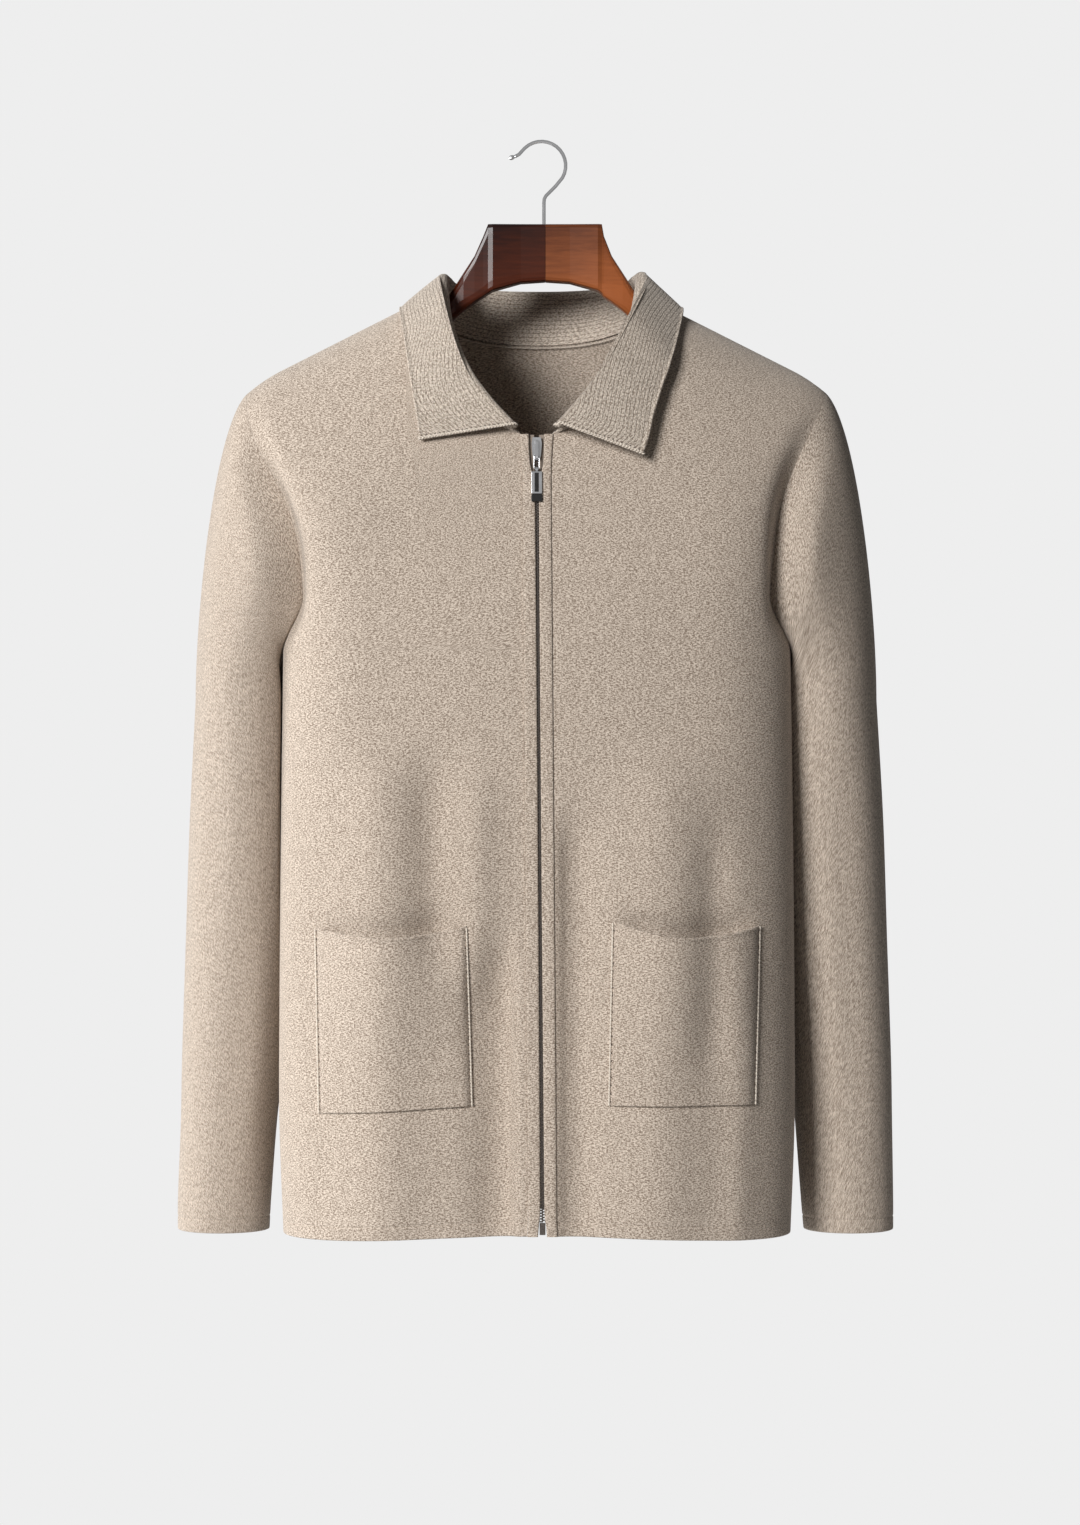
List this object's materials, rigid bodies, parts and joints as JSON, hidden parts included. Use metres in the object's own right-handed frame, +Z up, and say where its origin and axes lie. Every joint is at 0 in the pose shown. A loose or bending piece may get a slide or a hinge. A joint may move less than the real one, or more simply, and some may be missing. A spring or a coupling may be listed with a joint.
{
  "type": "zip-up knitted cardigan on a wooden hanger",
  "caption": "Zip-up knitted cardigan with a turned-down collar and patch pockets, hanging on a wooden hanger with a wire hook.",
  "frame": {"origin": "inside top of the hook's crown, where a rail bears", "axes": "+Z up, front of the cardigan towards -Y, +X to the right of one who looks at the front"},
  "size_m": [0.5308, 0.2034, 0.8036],
  "materials": {
    "body_knit": "fine heathered knit",
    "collar_knit": "ribbed knit",
    "zip_tape": "woven tape",
    "bright_metal": "polished",
    "dark_metal": "dark satin",
    "black_enamel": "gloss",
    "lacquered_wood": "red-brown gloss lacquer"
  },
  "bodies": {
    "garment": {"front_left": "body_knit", "front_right": "body_knit", "back": "body_knit", "sleeve_left": "body_knit", "sleeve_right": "body_knit", "collar": "collar_knit", "pocket_left": "body_knit", "pocket_right": "body_knit", "zip_band_left": "body_knit", "zip_band_right": "body_knit", "zip_tape_left": "zip_tape", "zip_tape_right": "zip_tape", "zip_chain": "dark_metal", "zip_box": "dark_metal", "zip_slider": "bright_metal", "hanger_left": "lacquered_wood", "hanger_right": "lacquered_wood", "hanger_hook": "bright_metal"},
    "pull_link": {"pull_link": "bright_metal"},
    "pull_tab": {"pull_tab": "bright_metal", "pull_inlay": "black_enamel", "pull_end": "black_enamel"}
  },
  "joints": [
    {"name": "link_hinge", "type": "hinge", "parent": "garment", "child": "pull_link", "pos_m": [-0.00345, -0.08711, -0.23585], "axis": [-1, 0, 0], "range_deg": [0, 120]},
    {"name": "tab_hinge", "type": "hinge", "parent": "pull_link", "child": "pull_tab", "pos_m": [-0.00345, -0.08801, -0.24571], "axis": [-1, 0, 0], "range_deg": [0, 60]}
  ]
}
